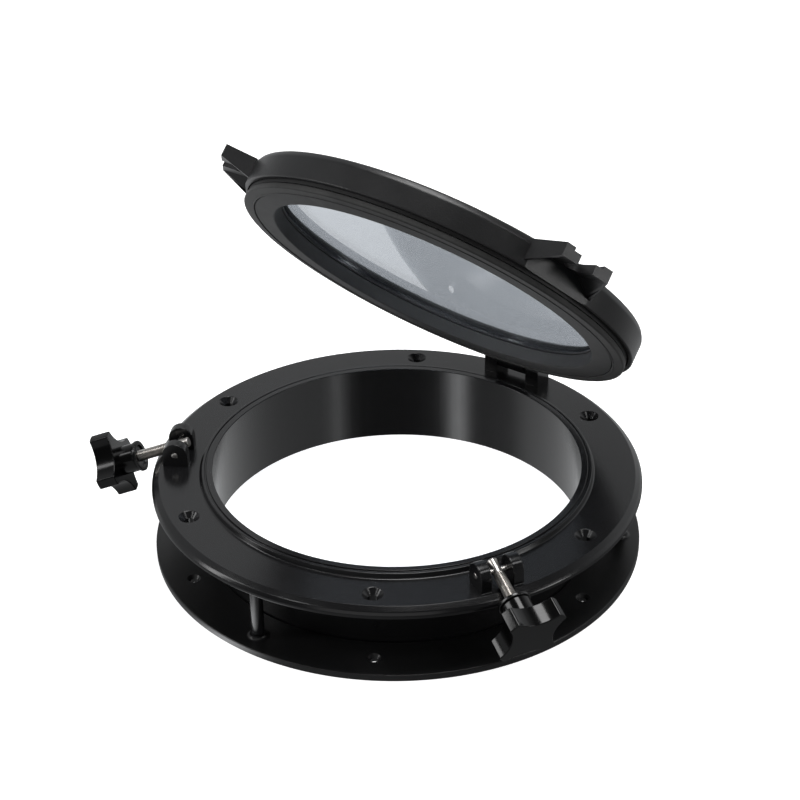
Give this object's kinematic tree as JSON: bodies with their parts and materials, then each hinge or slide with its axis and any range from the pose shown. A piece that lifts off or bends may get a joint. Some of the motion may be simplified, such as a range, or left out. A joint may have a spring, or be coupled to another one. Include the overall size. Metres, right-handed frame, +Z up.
{
  "type": "deck hatch",
  "caption": "Round flanged deck hatch with a hinged glazed lid, swing-bolt latches with lobed knobs, and a clamping ring below the deck.",
  "frame": {"origin": "on the hatch axis, at the bottom face of the clamping ring; the deck plane (the underside of the top flange) is 38.7 mm above it", "axes": "+Z up out of the deck along the hatch axis, +Y towards the lid hinge, +X completes the right-handed frame"},
  "size_m": [0.3046, 0.2704, 0.2347],
  "materials": {
    "frame_plastic": "black moulded plastic, satin gloss",
    "trim_plastic": "black moulded plastic, satin gloss",
    "lid_plastic": "black moulded plastic, fine grain, satin",
    "lid_ring_plastic": "dark grey-black moulded plastic, matte",
    "gasket_rubber": "black seal rubber, matte",
    "pane": "grey-blue tinted clear acrylic",
    "seal_rubber": "black glazing bead",
    "stainless": "stainless steel, turned",
    "insert_brass": "turned brass",
    "knob_plastic": "black glossy moulded plastic",
    "washer_plastic": "black nylon"
  },
  "bodies": {
    "root": {"main_frame": "frame_plastic", "trim_ring": "trim_plastic", "trim_screw_1": "stainless", "trim_screw_2": "stainless", "trim_screw_3": "stainless", "hinge_pin": "stainless", "latch_pin_left": "stainless", "latch_pin_right": "stainless"},
    "lid": {"lid_frame": "lid_plastic", "lid_inner_ring": "lid_ring_plastic", "lid_gasket": "gasket_rubber", "glass_pane": "pane", "glazing_seal_lower": "seal_rubber", "glazing_seal_upper": "seal_rubber"},
    "latch_left": {"swing_bolt_left": "stainless"},
    "carriage_left": {"knob_washer_left": "washer_plastic"},
    "knob_body_left": {"knob_left": "knob_plastic", "knob_insert_left": "insert_brass"},
    "latch_right": {"swing_bolt_right": "stainless"},
    "carriage_right": {"knob_washer_right": "washer_plastic"},
    "knob_body_right": {"knob_right": "knob_plastic", "knob_insert_right": "insert_brass"}
  },
  "joints": [
    {"name": "lid_hinge", "type": "hinge", "parent": "root", "child": "lid", "pos_m": [0, 0.1222, 0.0532], "axis": [-1, 0, 0], "range_deg": [-46.6, 63.4]},
    {"name": "latch_swing_left", "type": "hinge", "parent": "root", "child": "latch_left", "pos_m": [-0.10548, -0.0609, 0.0509], "axis": [0.5, -0.866, 0], "range_deg": [-110.5, 0]},
    {"name": "knob_travel_left", "type": "slide", "parent": "latch_left", "child": "carriage_left", "axis": [-0.8112, -0.4683, -0.3502], "range_m": [-0.006, 0.0047]},
    {"name": "knob_turn_left", "type": "hinge", "parent": "carriage_left", "child": "knob_body_left", "pos_m": [-0.10548, -0.0609, 0.0509], "axis": [-0.8112, -0.4683, -0.3502], "range_deg": [-2160, 1692]},
    {"name": "latch_swing_right", "type": "hinge", "parent": "root", "child": "latch_right", "pos_m": [0.10548, -0.0609, 0.0509], "axis": [0.5, 0.866, 0], "range_deg": [-110.5, 0]},
    {"name": "knob_travel_right", "type": "slide", "parent": "latch_right", "child": "carriage_right", "axis": [0.8112, -0.4683, -0.3502], "range_m": [-0.0027, 0.008]},
    {"name": "knob_turn_right", "type": "hinge", "parent": "carriage_right", "child": "knob_body_right", "pos_m": [0.10548, -0.0609, 0.0509], "axis": [0.8112, -0.4683, -0.3502], "range_deg": [-972, 2880]}
  ],
  "couplings": [
    {"joint": "knob_travel_left", "follows": "knob_turn_left", "m_per_rad": 0.00015915},
    {"joint": "knob_travel_right", "follows": "knob_turn_right", "m_per_rad": 0.00015915}
  ]
}
